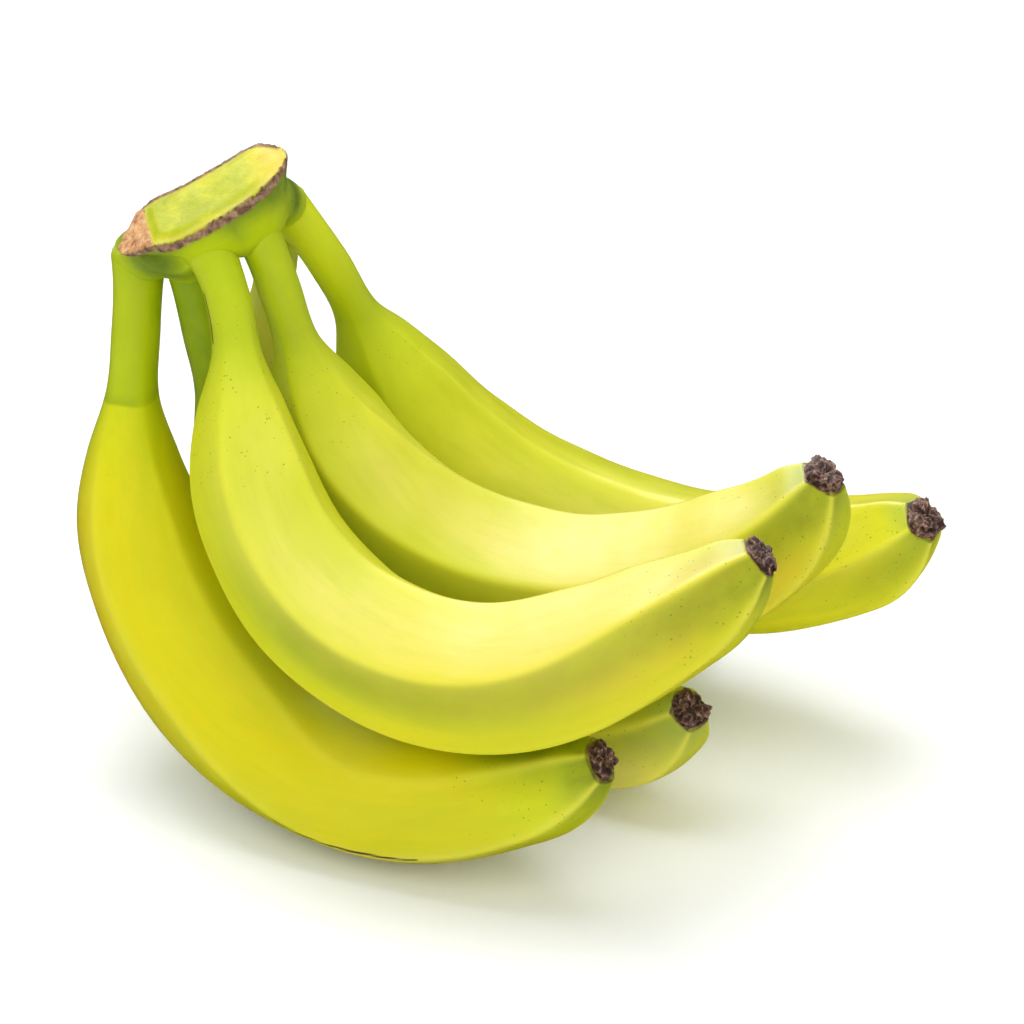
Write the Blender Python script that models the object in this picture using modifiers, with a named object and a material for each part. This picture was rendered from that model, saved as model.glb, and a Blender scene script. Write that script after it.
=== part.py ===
"""A bunch of six bananas that hang together from one cut crown, lying on the backs of its lower row.

Metres, +Z up. The bunch rests on z = 0, with the origin under the middle of its box. Each banana is a loft
along a planar bent centre line, from a round stalk, through a five-sided body, to a narrow tip that carries
the dried remains of its flower. The crown is a short cut bar with a stub for each stalk, grown together.
"""

import math

import bmesh
import bpy
import numpy as np
from mathutils import Euler, Matrix, Vector

MM = 0.001
TOUCH = 0.3  # mm, between pieces that touch

# Each banana, in mm and degrees: where its stalk leaves the crown, the way it heads, how far its plane leans,
# the slope that it starts with, its bends along the stalk, the body and the tip, the lengths of stalk and
# body, the radii of both, and how far its ridges are turned about its own centre line.
FINGER_KEYS = "root heading lean slope bends stalk body radius neck ridge".split()
FINGERS = {
    "banana_1": ((-89.2, -2.6, 131.6), -29, -10, 2.0, (-5.5, 124, 4), 38, 187, 18.6, 5.9, 14),
    "banana_2": ((-69.9, -22.1, 142.4), -18, -20, 33.5, (-28.5, 138.5, -4), 26.5, 176, 17.3, 5.3, -20),
    "banana_3": ((-60.1, -17.0, 147.4), -14, 4, 20.5, (-11.5, 125.2, 35.0), 35, 171.5, 18.7, 5.1, 10),
    "banana_4": ((-53.8, 1.0, 144.1), -20, 24, 28.5, (-23.5, 119.5, 27), 40, 188.5, 18.5, 5.1, 7),
    "banana_5": ((-76.5, -6.0, 135.0), -32, 15, -3.6, (3.6, 105.5, 50), 43, 175, 17.6, 5.6, 15),
    "banana_6": ((-57.0, 12.0, 142.5), -13, 19.5, -3.0, (-20, 130, -27), 38, 178, 17.0, 5.1, 19),
}
RESTING = ("banana_1", "banana_5", "banana_6")
REST_DEPTH = 0.7  # mm, how far the backs that carry the bunch are pressed flat
SHIFT = (0.1, 15.5, 0.0)  # mm, from the layout above to the frame of the part

# Outline of a banana along its length: stalk radii as shares of the neck, body radii as shares of the radius.
STALK_AT = (0.0, 0.15, 0.5, 0.9)
STALK_WIDTH = (1.12, 1.03, 1.0, 1.1)
BODY_AT = (0.06, 0.14, 0.25, 0.42, 0.60, 0.75, 0.86, 0.94, 0.975, 1.0)
BODY_WIDTH = (0.60, 0.82, 0.93, 1.0, 0.99, 0.93, 0.81, 0.63, 0.48, 0.30)
HEEL = 0.14  # share of the radius by which the outer side is fuller, and the inner one flatter, near the tip
HEEL_AT = 0.93
HEEL_REACH = 0.06
RIDGES = 5
RIDGE_DEPTH = 0.036  # share of the radius; the sides between the ridges come out nearly flat
SIDES = 20
STALK_RINGS = 6
BODY_RINGS = 16
BODY_RINGS_TO = 0.9  # share of the body, from where the closer rings of the tip take over
TIP_RINGS = (0.935, 0.962, 0.983, 1.0)

# Dried flower remains at each tip.
BLOSSOM_RADIUS = 4.7
BLOSSOM_HEIGHT = 3.2
BLOSSOM_SIDES = 18

# Crown: the cut bar, seen on its cut face, and how it narrows below it.
CROWN_CENTRE = (-74.5, -8.5, 156.1)
CROWN_TURN = 9  # degrees, of the bar's length from +X towards +Y
CROWN_RISE = 27  # degrees, of the bar's length above the level
CROWN_TILT = 12  # degrees, of the cut face towards -Y
CROWN_OUTLINE = (  # corners, along and across the bar
    (-12.6, -0.6), (-4.0, -1.4), (6.0, -1.2), (15.6, -0.4), (20.0, -3.6), (23.0, -9.8), (21.6, -13.6),
    (15.2, -18.4), (6.0, -20.4), (-5.0, -21.1), (-11.0, -19.9), (-16.4, -16.2), (-25.2, -8.0),
)
CROWN_MIDDLE = -10.5  # mm, across the bar, where its breadth is measured from
CROWN_LEVELS = (  # depth below the cut face, reach of the low and the high end, breadth
    (-3.0, -25.2, 23.0, 0.98),
    (0.0, -25.2, 23.0, 0.98),
    (3.2, -24.4, 21.2, 1.02),
    (7.0, -17.5, 18.8, 1.02),
    (11.5, -9.5, 17.0, 0.92),
    (16.5, -2.0, 14.0, 0.70),
)
FACET_START = -15.5  # mm, along the bar, where a second cut slopes down to its low end
FACET_SLOPE = 19  # degrees
CROWN_GRAIN = 1.7  # mm, size of the cells in which bar and stubs grow together
CROWN_SMOOTH = 6

GREEN = (0.42, 0.55, 0.02)
YELLOW = (0.78, 0.74, 0.03)
BLACK_BROWN = (0.06, 0.035, 0.03)


def clear_scene():
    for item in list(bpy.data.objects):
        bpy.data.objects.remove(item, do_unlink=True)


def collection(name):
    made = bpy.data.collections.new(name)
    bpy.context.scene.collection.children.link(made)
    return made


def material(name, colour, roughness):
    made = bpy.data.materials.new(name)
    made.use_nodes = True
    shader = made.node_tree.nodes["Principled BSDF"]
    shader.inputs["Base Color"].default_value = (*colour, 1.0)
    shader.inputs["Roughness"].default_value = roughness
    shader.inputs["Metallic"].default_value = 0.0
    return made


def smooth_curve(knots, values, at):
    """A cubic curve through the values, with each slope taken from its neighbours."""
    knots = np.asarray(knots, float)
    values = np.asarray(values, float)
    slopes = np.gradient(values, knots)
    i = np.clip(np.searchsorted(knots, at) - 1, 0, len(knots) - 2)
    span = knots[i + 1] - knots[i]
    t = (at - knots[i]) / span
    ends = values[i] * (1 + 2 * t) * (1 - t) ** 2 + values[i + 1] * t * t * (3 - 2 * t)
    return ends + span * (slopes[i] * t * (1 - t) ** 2 - slopes[i + 1] * t * t * (1 - t))


class Finger:
    """The centre line and radii of one banana, in its own frame: it hangs down -Z and bends towards +X."""

    def __init__(self, name, values):
        self.name = name
        spec = dict(zip(FINGER_KEYS, values))
        self.root = Vector(spec["root"]) + Vector(SHIFT)
        self.turn = Euler((math.radians(spec["lean"]), 0.0, math.radians(spec["heading"])))
        self.slope = spec["slope"]
        self.bends = spec["bends"]
        self.stalk = spec["stalk"]
        self.body = spec["body"]
        self.radius = spec["radius"]
        self.neck = spec["neck"]
        self.ridge = math.radians(spec["ridge"])
        self.length = self.stalk + self.body
        if name in RESTING:
            self.root.z -= self.lowest() + REST_DEPTH

    def angles(self, s):
        """Angle of the centre line from straight down at each distance s, by adding up its curvature."""
        fine = np.linspace(0.0, self.length, 400)
        in_stalk = self.bends[0] / self.stalk
        in_body = self.bends[1] / (0.8 * self.body)
        in_tip = self.bends[2] / (0.3 * self.body)
        places = [0.5 * self.stalk, self.stalk]
        places += [self.stalk + share * self.body for share in (0.2, 0.6, 0.85, 1.0)]
        bends = [in_stalk, (in_stalk + in_body) / 2, in_body, in_body, (in_body + in_tip) / 2, in_tip]
        rate = np.interp(fine, places, bends)
        turned = np.concatenate([[0.0], np.cumsum((rate[1:] + rate[:-1]) / 2 * np.diff(fine))])
        return np.radians(np.interp(s, fine, self.slope + turned))

    def points(self, s):
        """Centre points and directions at each distance s."""
        fine = np.linspace(0.0, self.length, 400)
        angle = self.angles((fine[1:] + fine[:-1]) / 2)
        step = np.diff(fine)
        x = np.concatenate([[0.0], np.cumsum(np.sin(angle) * step)])
        z = np.concatenate([[0.0], np.cumsum(-np.cos(angle) * step)])
        here = self.angles(s)
        middle = np.stack([np.interp(s, fine, x), np.zeros_like(s), np.interp(s, fine, z)], 1)
        along = np.stack([np.sin(here), np.zeros_like(s), -np.cos(here)], 1)
        return middle, along

    def radii(self, s):
        places = [share * self.stalk for share in STALK_AT]
        places += [self.stalk + share * self.body for share in BODY_AT]
        widths = [share * self.neck for share in STALK_WIDTH]
        widths += [share * self.radius for share in BODY_WIDTH]
        return smooth_curve(places, widths, s)

    def lowest(self):
        """Height of the lowest point of the skin."""
        turn = self.turn.to_matrix()
        rings = self.rings(np.linspace(self.stalk, self.length, 60), sides=40)
        return min((self.root + turn @ Vector(point)).z for ring in rings for point in ring)

    def ridged(self, s):
        """How far the five ridges stand out at each distance: none on the stalk, full on the body."""
        share = (s - 0.6 * self.stalk) / (0.4 * self.stalk + 0.12 * self.body)
        return RIDGE_DEPTH * np.clip(share, 0.0, 1.0)

    def heel(self, s):
        """How much fuller the outer side is at each distance."""
        share = (s - self.stalk) / self.body
        return HEEL * np.exp(-(((share - HEEL_AT) / HEEL_REACH) ** 2))

    def rings(self, s, grow=0.0, sides=SIDES):
        """Points of the section rings at each distance s, grown outwards by so many mm."""
        middle, along = self.points(s)
        radius = self.radii(s) + grow
        depth = self.ridged(s)
        heel = self.heel(s)
        outwards = np.stack([-along[:, 2], np.zeros_like(s), along[:, 0]], 1)
        across = np.array([0.0, 1.0, 0.0])
        rings = []
        for centre, away, r, ridge, fuller in zip(middle, outwards, radius, depth, heel):
            ring = []
            for k in range(sides):
                angle = 2 * math.pi * k / sides
                wide = r * (1 + ridge * math.cos(RIDGES * (angle - self.ridge)) - fuller * math.cos(angle))
                ring.append(centre + wide * (math.cos(angle) * away + math.sin(angle) * across))
            rings.append(ring)
        return rings


def loft(name, rings):
    """A closed mesh object through rings of equal size, in mm, with a fan over each end."""
    mesh = bmesh.new()
    rows = [[mesh.verts.new(Vector(point) * MM) for point in ring] for ring in rings]
    count = len(rows[0])
    for low, high in zip(rows, rows[1:]):
        for k in range(count):
            j = (k + 1) % count
            mesh.faces.new((low[k], low[j], high[j], high[k]))
    for row in (rows[0], rows[-1]):
        hub = mesh.verts.new(sum((v.co for v in row), Vector()) / count)
        for k in range(count):
            mesh.faces.new((row[k], row[(k + 1) % count], hub))
    bmesh.ops.recalc_face_normals(mesh, faces=mesh.faces)
    data = bpy.data.meshes.new(name)
    mesh.to_mesh(data)
    mesh.free()
    return bpy.data.objects.new(name, data)


def smooth_shading(item, angle):
    item.data.shade_smooth()
    item.data.set_sharp_from_angle(angle=math.radians(angle))


def place(item, finger):
    item.location = finger.root * MM
    item.rotation_euler = finger.turn


def press_flat(item):
    """Flattens what reaches below the surface that the bunch lies on."""
    world = Matrix.LocRotScale(item.location, item.rotation_euler, None)
    back = world.inverted()
    for vertex in item.data.vertices:
        point = world @ vertex.co
        if point.z < 0.0:
            point.z = 0.0
            vertex.co = back @ point


def make_banana(finger, skin, folder):
    s = np.concatenate([
        np.linspace(0.0, finger.stalk, STALK_RINGS, endpoint=False),
        finger.stalk + np.linspace(0.0, BODY_RINGS_TO, BODY_RINGS) * finger.body,
        finger.stalk + np.array(TIP_RINGS) * finger.body,
    ])
    item = loft(finger.name, finger.rings(s))
    place(item, finger)
    press_flat(item)
    smooth_shading(item, 60)
    item.data.materials.append(skin)
    folder.objects.link(item)
    return item


def make_blossom_end(finger, banana, dried, folder):
    """The shrivelled remains of the flower: a low button with a torn rim, seated on the tip."""
    number = finger.name.split("_")[-1]
    phase = float(number)
    levels = ((0.0, 0.86), (0.25, 1.0), (0.55, 0.93), (0.8, 1.02), (1.0, 0.62))
    rings = []
    for height, width in levels:
        ring = []
        for k in range(BLOSSOM_SIDES):
            angle = 2 * math.pi * k / BLOSSOM_SIDES
            torn = 0.10 * math.cos(3 * angle + phase) + 0.07 * math.cos(7 * angle - 2 * phase)
            reach = BLOSSOM_RADIUS * width * (1 + torn * height)
            lift = BLOSSOM_HEIGHT * height * (1 + 0.9 * torn * height)
            ring.append((reach * math.cos(angle), reach * math.sin(angle), lift))
        rings.append(ring)
    item = loft("blossom_end_" + number, rings)
    end = np.array([finger.length])
    middle, along = finger.points(end)
    direction = Vector(along[0])
    item.parent = banana
    item.location = (Vector(middle[0]) + direction * TOUCH) * MM
    item.rotation_euler = direction.to_track_quat("Z", "Y").to_euler()
    smooth_shading(item, 40)
    item.data.materials.append(dried)
    folder.objects.link(item)
    return item


def crown_matrix():
    turn = Euler((0.0, 0.0, math.radians(CROWN_TURN))).to_matrix()
    rise = Euler((0.0, -math.radians(CROWN_RISE), 0.0)).to_matrix()
    tilt = Euler((math.radians(CROWN_TILT), 0.0, 0.0)).to_matrix()
    return Matrix.Translation(Vector(CROWN_CENTRE) + Vector(SHIFT)) @ (turn @ rise @ tilt).to_4x4()


def crown_ring(depth, low, high, breadth, steps=3):
    """The outline at one depth, rounded between its corners."""
    corners = [Vector(point) for point in CROWN_OUTLINE]
    count = len(corners)
    ring = []
    for k in range(count):
        before, here, after, last = (corners[(k + j) % count] for j in (-1, 0, 1, 2))
        for step in range(steps):
            t = step / steps
            slope_in = 0.4 * (after - before)
            slope_out = 0.4 * (last - here)
            point = here * (1 + 2 * t) * (1 - t) ** 2 + after * t * t * (3 - 2 * t)
            point += slope_in * t * (1 - t) ** 2 - slope_out * t * t * (1 - t)
            share = (point.x - CROWN_LEVELS[0][1]) / (CROWN_LEVELS[0][2] - CROWN_LEVELS[0][1])
            y = CROWN_MIDDLE + breadth * (point.y - CROWN_MIDDLE)
            ring.append(Vector((low + share * (high - low), y, -depth)))
    return ring


def stub_rings(finger, matrix, sides=14, steps=6):
    """A stub from inside the bar to a little past the start of the stalk, in mm."""
    middle, along = finger.points(np.array([0.0]))
    turn = finger.turn.to_matrix()
    down = turn @ Vector(along[0])
    low = finger.root + down * 2.0
    inside = matrix.inverted() @ finger.root
    inside.x = min(max(inside.x, -12.5), 13.0)
    inside.y = -9.5 + 0.25 * inside.y
    inside.z = -8.5
    high = matrix @ inside
    bend = low - down * 0.1 * (high - low).length
    neck = finger.neck * STALK_WIDTH[0]
    side = down.orthogonal().normalized()
    rings = []
    for step in range(steps + 1):
        t = step / steps
        centre = low * (1 - t) ** 2 + bend * 2 * t * (1 - t) + high * t * t
        heading = ((bend - low) * (1 - t) + (high - bend) * t).normalized()
        first = (side - heading * side.dot(heading)).normalized()
        second = heading.cross(first)
        ring = []
        for k in range(sides):
            angle = 2 * math.pi * k / sides
            ring.append(centre + neck * (math.cos(angle) * first + math.sin(angle) * second))
        rings.append(ring)
    return rings


def stalk_cutter(finger, folder):
    """What the crown leaves clear for a stalk, from the joint down."""
    s = np.linspace(0.0, 26.0, 9)
    rings = finger.rings(s, grow=2.5 * TOUCH, sides=16)
    middle, along = finger.points(s[:1])
    rings[0] = [point - along[0] * TOUCH for point in rings[0]]
    item = loft("cut_" + finger.name, rings)
    place(item, finger)
    hide_cutter(item, folder)
    return item


def hide_cutter(item, folder):
    item.hide_render = True
    item.display_type = "WIRE"
    folder.objects.link(item)


def slab(name, matrix, folder):
    """A block whose underside lies on the local z = 0 plane of the matrix."""
    size = 60.0
    mesh = bmesh.new()
    bmesh.ops.create_cube(mesh, size=size * MM)
    bmesh.ops.translate(mesh, verts=mesh.verts, vec=(0.0, 0.0, size / 2 * MM))
    data = bpy.data.meshes.new(name)
    mesh.to_mesh(data)
    mesh.free()
    item = bpy.data.objects.new(name, data)
    item.location = matrix.to_translation() * MM
    item.rotation_euler = matrix.to_euler()
    hide_cutter(item, folder)
    return item


def cut(item, cutter):
    change = item.modifiers.new("less " + cutter.name, "BOOLEAN")
    change.operation = "DIFFERENCE"
    change.solver = "EXACT"
    change.object = cutter


def make_crown(fingers, skin, folder, cutters):
    matrix = crown_matrix()
    pieces = [loft("bar", [[matrix @ point for point in crown_ring(*level)] for level in CROWN_LEVELS])]
    pieces += [loft("stub", stub_rings(finger, matrix)) for finger in fingers]
    joined = bmesh.new()
    for piece in pieces:
        joined.from_mesh(piece.data)
        bpy.data.objects.remove(piece, do_unlink=True)
    data = bpy.data.meshes.new("crown")
    joined.to_mesh(data)
    joined.free()
    crown = bpy.data.objects.new("crown", data)
    folder.objects.link(crown)
    grow = crown.modifiers.new("grown together", "REMESH")
    grow.mode = "VOXEL"
    grow.voxel_size = CROWN_GRAIN * MM
    grow.use_smooth_shade = True
    ease = crown.modifiers.new("eased", "SMOOTH")
    ease.factor = 0.5
    ease.iterations = CROWN_SMOOTH
    facet = matrix @ Matrix.Translation((FACET_START, 0.0, 0.0))
    facet = facet @ Euler((0.0, -math.radians(FACET_SLOPE), 0.0)).to_matrix().to_4x4()
    cut(crown, slab("cut_face", matrix, cutters))
    cut(crown, slab("cut_facet", facet, cutters))
    for finger in fingers:
        cut(crown, stalk_cutter(finger, cutters))
    crown.data.materials.append(skin)
    return crown


def main():
    clear_scene()
    folder = collection("bunch_of_bananas")
    cutters = collection("cutters")
    skin = material("banana_skin", YELLOW, 0.45)
    green = material("crown_skin", GREEN, 0.55)
    dried = material("dried_blossom", BLACK_BROWN, 0.9)
    fingers = [Finger(name, values) for name, values in FINGERS.items()]
    make_crown(fingers, green, folder, cutters)
    for finger in fingers:
        banana = make_banana(finger, skin, folder)
        make_blossom_end(finger, banana, dried, folder)


main()
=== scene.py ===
"""Looks of the bunch of bananas: fine skins, a cut crown with a corky rim, and dried flower remains.

Lengths in the tables are in mm and angles in degrees. The meshes are in metres, in the part's frame.
"""

import math

import bmesh
import bpy
import numpy as np
from mathutils import Euler, Matrix, Vector, kdtree, noise


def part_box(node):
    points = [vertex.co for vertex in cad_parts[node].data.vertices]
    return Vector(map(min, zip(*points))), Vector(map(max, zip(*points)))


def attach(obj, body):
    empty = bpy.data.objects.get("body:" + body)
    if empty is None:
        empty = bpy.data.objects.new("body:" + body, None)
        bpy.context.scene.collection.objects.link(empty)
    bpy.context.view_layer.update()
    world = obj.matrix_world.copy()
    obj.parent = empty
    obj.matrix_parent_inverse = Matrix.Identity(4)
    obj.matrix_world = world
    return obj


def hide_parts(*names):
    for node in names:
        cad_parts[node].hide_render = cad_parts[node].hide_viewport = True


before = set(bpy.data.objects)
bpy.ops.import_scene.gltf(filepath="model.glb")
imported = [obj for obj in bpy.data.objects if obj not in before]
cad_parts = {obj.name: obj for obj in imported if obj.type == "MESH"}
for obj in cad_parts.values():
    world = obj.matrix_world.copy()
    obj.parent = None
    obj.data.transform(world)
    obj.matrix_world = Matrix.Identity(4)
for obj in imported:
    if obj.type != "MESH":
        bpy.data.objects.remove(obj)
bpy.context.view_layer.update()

MM = 0.001
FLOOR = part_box("banana_1")[0].z

# The bananas as the solids have them: start, heading, lean and first slope of the centre line, its bends
# along stalk, body and tip, lengths of stalk and body, radii of body and neck.
FINGER_KEYS = "root heading lean slope bends stalk body radius neck".split()
FINGERS = {
    "banana_1": ((-89.2, -2.6, 131.6), -29, -10, 2.0, (-5.5, 124, 4), 38, 187, 18.6, 5.9),
    "banana_2": ((-69.9, -22.1, 142.4), -18, -20, 33.5, (-28.5, 138.5, -4), 26.5, 176, 17.3, 5.3),
    "banana_3": ((-60.1, -17.0, 147.4), -14, 4, 20.5, (-11.5, 125.2, 35.0), 35, 171.5, 18.7, 5.1),
    "banana_4": ((-53.8, 1.0, 144.1), -20, 24, 28.5, (-23.5, 119.5, 27), 40, 188.5, 18.5, 5.1),
    "banana_5": ((-76.5, -6.0, 135.0), -32, 15, -3.6, (3.6, 105.5, 50), 43, 175, 17.6, 5.6),
    "banana_6": ((-57.0, 12.0, 142.5), -13, 19.5, -3.0, (-20, 130, -27), 38, 178, 17.0, 5.1),
}
SHIFT = (0.1, 15.5, 0.0)  # from the layout above to the frame of the part
# Shares of the body between which the bend passes from the stalk's to the body's, and from that to the
# tip's, and the shares of the body over which the last two are spread.
BEND_AT = (0.2, 0.6, 0.85, 1.0)
BODY_SPREAD = 0.8
TIP_SPREAD = 0.3
# Outline along the banana: stalk radii as shares of the neck, body radii as shares of the radius.
STALK_AT = (0.0, 0.15, 0.5, 0.9)
STALK_WIDTH = (1.12, 1.03, 1.0, 1.1)
BODY_AT = (0.06, 0.14, 0.25, 0.42, 0.60, 0.75, 0.86, 0.94, 0.975, 1.0)
BODY_WIDTH = (0.60, 0.82, 0.93, 1.0, 0.99, 0.93, 0.81, 0.63, 0.48, 0.30)
HEEL = 0.14  # how much fuller the outer side is near the tip, and how much flatter the inner one
HEEL_AT = 0.93
HEEL_REACH = 0.06
SOLID_SIDES = 20
FINE_STEPS = 400  # along the centre line, where its bends are added up

# Where one of the five ridges runs round each banana, against the share of its body.
RIDGES = 5
RIDGE_LINES = {
    "banana_1": ((0.0, -102), (0.30, -95), (0.48, -102), (0.66, -128), (1.0, -132)),
    "banana_2": ((0.0, -96), (0.45, -91), (0.65, -83), (0.82, -71), (1.0, -67)),
    "banana_3": ((0.0, -98), (0.20, -78), (0.42, -61), (1.0, -55)),
    "banana_4": ((0.0, -70), (1.0, -63)),
    "banana_5": ((0.0, -57), (1.0, -57)),
    "banana_6": ((0.0, -53), (1.0, -53)),
}
# How far the section goes from round, 0, to five flat sides, 1: on the stalk, on each body, and what the
# tip adds.
STALK_CRISP = 0.05
CRISP = {
    "banana_1": 0.5, "banana_2": 0.82, "banana_3": 0.82,
    "banana_4": 0.75, "banana_5": 0.7, "banana_6": 0.7,
}
TIP_CRISP = 0.12
RIDGE_ROUNDING = 3  # degrees to each side of a ridge
ROUND_LEVEL = 0.893  # a round section's radius, where that of the ridges of a flat-sided one is 1
# The paler line on each ridge is a painted highlight.
RIDGE_HIGHLIGHT_BREADTH = 7  # degrees, of the paler line on a ridge

# Slight swellings and dents: how many waves, how long they are, and how high against their length.
SWELLINGS = 12
SWELLING_LENGTHS = (16.0, 70.0)
SWELLING_TURNS = 4
SWELLING_RISE = 0.0016
SWELLING_SEED = 40

# Points of each skin: all its rows, those of them on the stalk, and how many lie round each. The first two
# rows lie so many mm before the stalk starts, inside the crown.
ROWS = 300
STALK_ROWS = 70
SIDES = 160
SKIN_STARTS = (-0.6, -0.4)
SKIN_APART = 0.37  # metres between two bananas' places in the textures, so that no two match


def rgb(red, green, blue):
    """A colour given in the usual 0 to 255 steps, as linear light."""
    steps = np.array([red, green, blue]) / 255.0
    linear = np.where(steps <= 0.04045, steps / 12.92, ((steps + 0.055) / 1.055) ** 2.4)
    return (*linear.tolist(), 1.0)


def smooth_curve(knots, values, at):
    """A cubic curve through the values, with each slope taken from its neighbours."""
    knots = np.asarray(knots, float)
    values = np.asarray(values, float)
    slopes = np.gradient(values, knots)
    i = np.clip(np.searchsorted(knots, at) - 1, 0, len(knots) - 2)
    span = knots[i + 1] - knots[i]
    t = (at - knots[i]) / span
    ends = values[i] * (1 + 2 * t) * (1 - t) ** 2 + values[i + 1] * t * t * (3 - 2 * t)
    return ends + span * (slopes[i] * t * (1 - t) ** 2 - slopes[i + 1] * t * t * (1 - t))


def ease(low, high, x):
    """0 up to low, 1 from high, and a smooth step between them."""
    t = np.clip((x - low) / (high - low), 0.0, 1.0)
    return t * t * (3 - 2 * t)


def bell(x, middle, reach):
    """1 in the middle, and falling off to both sides."""
    return np.exp(-(((x - middle) / reach) ** 2))


def turned_back(angle):
    """The same angle between half a turn back and half a turn on."""
    return (angle + math.pi) % math.tau - math.pi


class Finger:
    """A banana's centre line and skin, as in the solids.

    In its own frame it hangs down and bends to +X. Distances s run along it from the start of the stalk.
    """

    def __init__(self, name, values):
        self.name = name
        spec = dict(zip(FINGER_KEYS, values))
        self.root = np.array(spec["root"]) + SHIFT
        turn = Euler((math.radians(spec["lean"]), 0.0, math.radians(spec["heading"])))
        self.turn = np.array(turn.to_matrix())
        self.slope = spec["slope"]
        self.bends = spec["bends"]
        self.stalk = spec["stalk"]
        self.body = spec["body"]
        self.radius = spec["radius"]
        self.neck = spec["neck"]
        self.length = self.stalk + self.body
        self.seed = int(name.split("_")[-1])
        self.settle()

    def settle(self):
        """Takes the height from the solid's top, since some bananas are let down onto the floor."""
        start = np.zeros(SOLID_SIDES + 1)
        around = np.linspace(0, math.tau, SOLID_SIDES + 1)
        top = self.world(*self.section(start), self.radii(start), around)[:, 2].max()
        self.root[2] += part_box(self.name)[1].z / MM - top

    def angles(self, s):
        """Angle of the centre line from straight down at each distance s, by adding up its bends."""
        fine = np.linspace(0.0, self.length, FINE_STEPS)
        in_stalk = self.bends[0] / self.stalk
        in_body = self.bends[1] / (BODY_SPREAD * self.body)
        in_tip = self.bends[2] / (TIP_SPREAD * self.body)
        places = [0.5 * self.stalk, self.stalk]
        places += [self.stalk + share * self.body for share in BEND_AT]
        bends = [in_stalk, (in_stalk + in_body) / 2, in_body, in_body, (in_body + in_tip) / 2, in_tip]
        rate = np.interp(fine, places, bends)
        turned = np.concatenate([[0.0], np.cumsum((rate[1:] + rate[:-1]) / 2 * np.diff(fine))])
        return np.radians(np.interp(s, fine, self.slope + turned))

    def along(self, s):
        """Direction of the centre line at each distance s."""
        angle = self.angles(s)
        return np.stack([np.sin(angle), np.zeros_like(angle), -np.cos(angle)], -1)

    def down(self):
        """Direction in which the stalk starts, in the part's frame."""
        return self.turn @ self.along(np.zeros(1))[0]

    def section(self, s):
        """Centre and outward direction of the cross section at each distance s."""
        fine = np.linspace(0.0, self.length, FINE_STEPS)
        steps = self.along((fine[1:] + fine[:-1]) / 2) * np.diff(fine)[:, None]
        x = np.concatenate([[0.0], np.cumsum(steps[:, 0])])
        z = np.concatenate([[0.0], np.cumsum(steps[:, 2])])
        along = self.along(s)
        none = np.zeros_like(s)
        centre = np.stack([np.interp(s, fine, x), none, np.interp(s, fine, z)], -1)
        beyond = np.minimum(s, 0.0) + np.maximum(s - self.length, 0.0)
        outwards = np.stack([-along[..., 2], none, along[..., 0]], -1)
        return centre + beyond[..., None] * along, outwards

    def world(self, centre, outwards, radius, angle):
        """Points round the section, in mm in the part's frame."""
        across = np.array([0.0, 1.0, 0.0])
        away = np.cos(angle)[..., None] * outwards + np.sin(angle)[..., None] * across
        return (centre + radius[..., None] * away) @ self.turn.T + self.root

    def radii(self, s):
        """Radius of the round section at each distance s."""
        places = [share * self.stalk for share in STALK_AT]
        places += [self.stalk + share * self.body for share in BODY_AT]
        widths = [share * self.neck for share in STALK_WIDTH]
        widths += [share * self.radius for share in BODY_WIDTH]
        return smooth_curve(places, widths, np.clip(s, 0.0, self.length))

    def share(self, s):
        """Place along the body: 0 where the stalk ends and 1 at the tip."""
        return (s - self.stalk) / self.body

    def ridge_line(self, s):
        """Angle of the ridge that RIDGE_LINES follows, in radians."""
        places, angles = zip(*RIDGE_LINES[self.name])
        return np.radians(smooth_curve(places, angles, np.clip(self.share(s), 0, 1)))

    def ridge_offset(self, s, angle):
        """Angle from the nearest ridge, in radians."""
        step = math.tau / RIDGES
        return (angle - self.ridge_line(s) + step / 2) % step - step / 2

    def ridged(self, s, angle):
        """The section as a factor on the radius: nearly round on the stalk, and sharpest at the tip."""
        t = self.share(s)
        half = math.pi / RIDGES
        off = np.sqrt(self.ridge_offset(s, angle) ** 2 + math.radians(RIDGE_ROUNDING) ** 2)
        flat_sided = np.cos(half) / np.cos(np.clip(half - off, 0.0, half)) / ROUND_LEVEL
        crisp = STALK_CRISP + (CRISP[self.name] - STALK_CRISP) * ease(-0.1, 0.16, t)
        crisp = crisp + TIP_CRISP * ease(0.72, 0.95, t)
        heel = HEEL * bell(t, HEEL_AT, HEEL_REACH)
        return 1 + crisp * (flat_sided - 1) - heel * np.cos(angle)

    def uneven(self, s, angle):
        """Slight swellings and dents of a grown skin, in mm."""
        draw = np.random.default_rng(SWELLING_SEED + self.seed)
        total = np.zeros_like(s)
        for _ in range(SWELLINGS):
            length = draw.uniform(*SWELLING_LENGTHS)
            turns = draw.integers(0, SWELLING_TURNS)
            phase = draw.uniform(0, math.tau, 2)
            wave = SWELLING_RISE * length * np.sin(math.tau * s / length + phase[0])
            total += wave * np.cos(turns * angle + phase[1])
        t = self.share(s)
        return total * ease(-0.15, 0.1, t) * (1 - ease(0.85, 1.0, t))


def store(data, key, values):
    """A number at each vertex, for the materials to read."""
    layer = data.attributes.new(key, "FLOAT", "POINT")
    layer.data.foreach_set("value", values.astype(np.float32))


def store_straight(data, places):
    """The place of each vertex that the textures go by, in metres."""
    layer = data.attributes.new("straight", "FLOAT_VECTOR", "POINT")
    layer.data.foreach_set("vector", places.astype(np.float32).ravel())


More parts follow.
